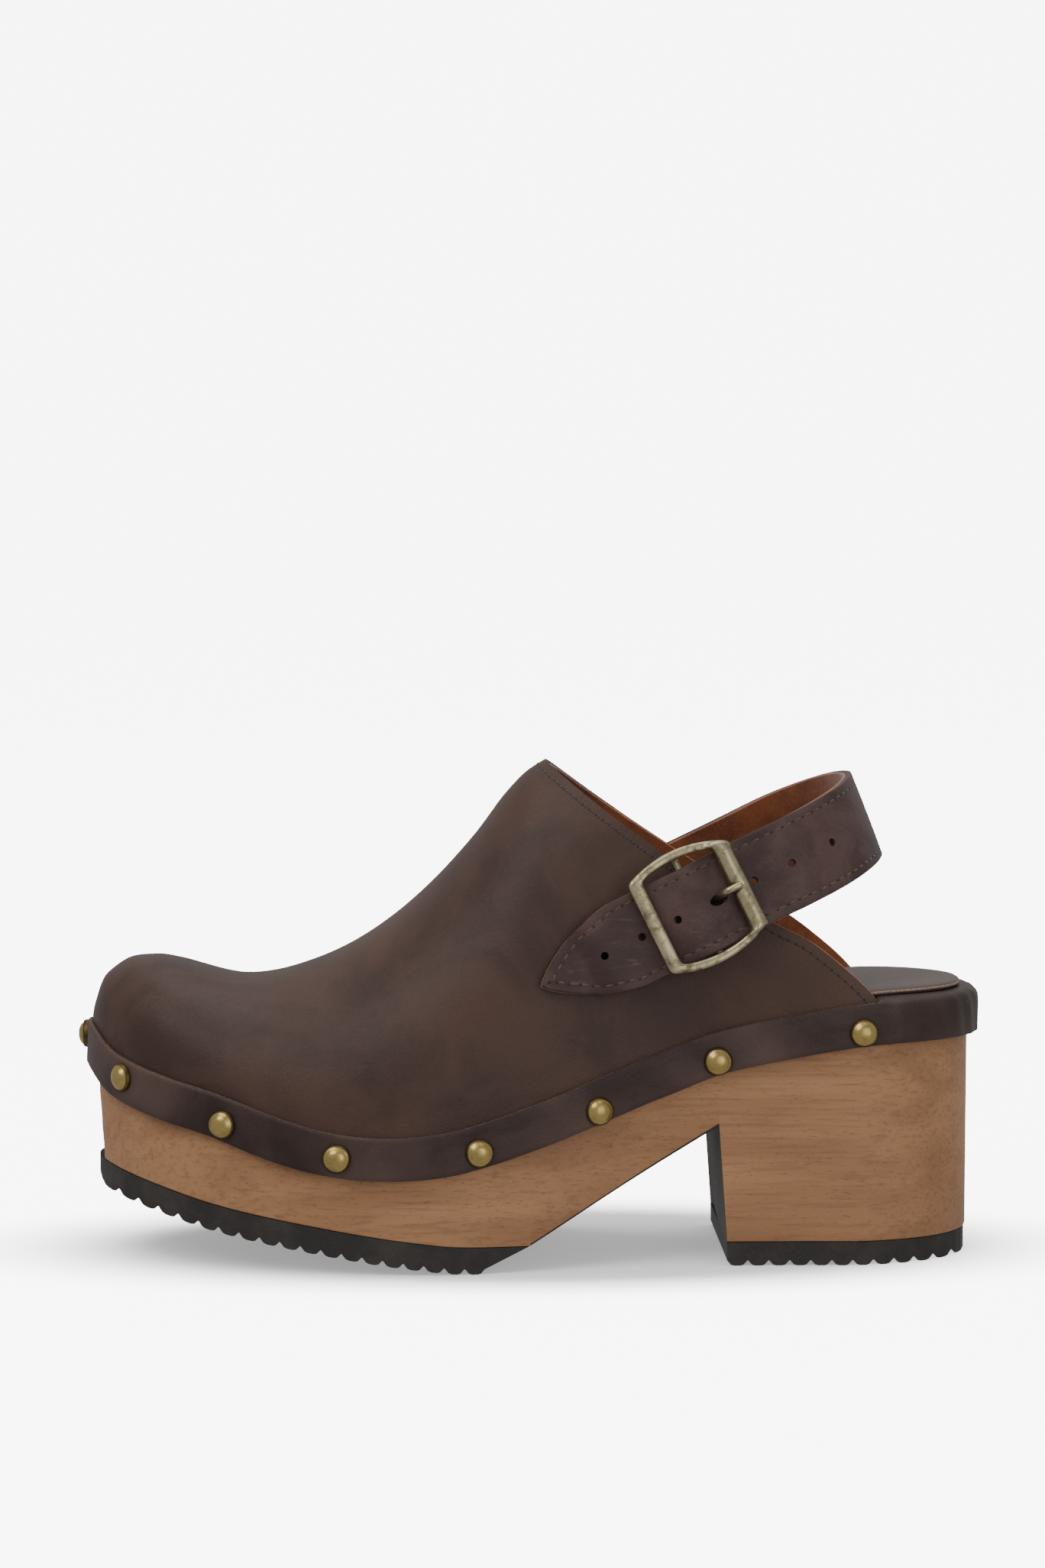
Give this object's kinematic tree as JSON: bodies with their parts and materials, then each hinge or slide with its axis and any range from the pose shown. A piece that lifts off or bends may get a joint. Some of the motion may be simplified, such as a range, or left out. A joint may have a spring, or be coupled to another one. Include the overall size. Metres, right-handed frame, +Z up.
{
  "type": "heeled wooden clog with heel strap",
  "caption": "Left clog with a carved wooden sole and block heel on ribbed rubber treads, a nailed leather vamp and a buckled leather heel strap.",
  "frame": {"origin": "on the floor, under the middle of the clog's length and width", "axes": "+X towards the heel, +Y towards the inner side of the foot, +Z up"},
  "size_m": [0.2618, 0.1044, 0.1423],
  "materials": {
    "wood": "oiled, fine straight grain, darker end grain on the heel breast",
    "tread_rubber": "matt moulded rubber with rounded cross lugs",
    "sock_leather": "smooth grey-brown sock with a soft sheen",
    "insole_pad": "plain foam, hidden",
    "vamp_leather": "oiled pull-up leather with cloudy lighter and darker areas",
    "lining_leather": "napped rust-coloured lining",
    "toe_stiffener": "stiffened cloth, hidden",
    "band_leather": "dark waxed leather with a worn, lighter top edge",
    "strap_leather": "waxed leather with light brown edge stitching",
    "antique_brass": "aged brass, pale on the high spots and dark in the recesses",
    "stud_brass": "satin brass domes"
  },
  "bodies": {
    "clog": {"wood_sole": "wood", "forefoot_tread": "tread_rubber", "heel_tread": "tread_rubber", "insole_cover": "sock_leather", "insole_padding": "insole_pad", "vamp": "vamp_leather", "vamp_lining": "lining_leather", "toe_puff": "toe_stiffener", "welt_band": "band_leather", "stud_01": "stud_brass", "stud_02": "stud_brass", "stud_03": "stud_brass", "stud_04": "stud_brass", "stud_05": "stud_brass", "stud_06": "stud_brass", "stud_07": "stud_brass", "stud_08": "stud_brass", "stud_09": "stud_brass", "stud_10": "stud_brass", "stud_11": "stud_brass", "stud_12": "stud_brass", "stud_13": "stud_brass", "stud_14": "stud_brass", "stud_15": "stud_brass", "stud_16": "stud_brass", "strap_tip_leather": "strap_leather", "strap_tip_lining": "lining_leather", "strap_sewn_leather": "strap_leather", "strap_sewn_lining": "lining_leather", "buckle_tab": "strap_leather"},
    "heel_loop": {"strap_loop_leather": "strap_leather", "strap_loop_lining": "lining_leather"},
    "buckle": {"buckle_frame": "antique_brass"},
    "prong": {"buckle_prong": "antique_brass"}
  },
  "joints": [
    {"name": "heel_loop_flex", "type": "hinge", "parent": "clog", "child": "heel_loop", "pos_m": [0.07357, 0, 0.1155], "axis": [0, 1, 0], "range_deg": [-20, 30]},
    {"name": "buckle_rock", "type": "hinge", "parent": "clog", "child": "buckle", "pos_m": [0.04656, -0.03573, 0.10322], "axis": [-0.4368, 0.1818, 0.881], "range_deg": [-1.5, 1.5]},
    {"name": "prong_lift", "type": "hinge", "parent": "buckle", "child": "prong", "pos_m": [0.04656, -0.03573, 0.10322], "axis": [-0.4368, 0.1818, 0.881], "range_deg": [-6, 0]}
  ]
}
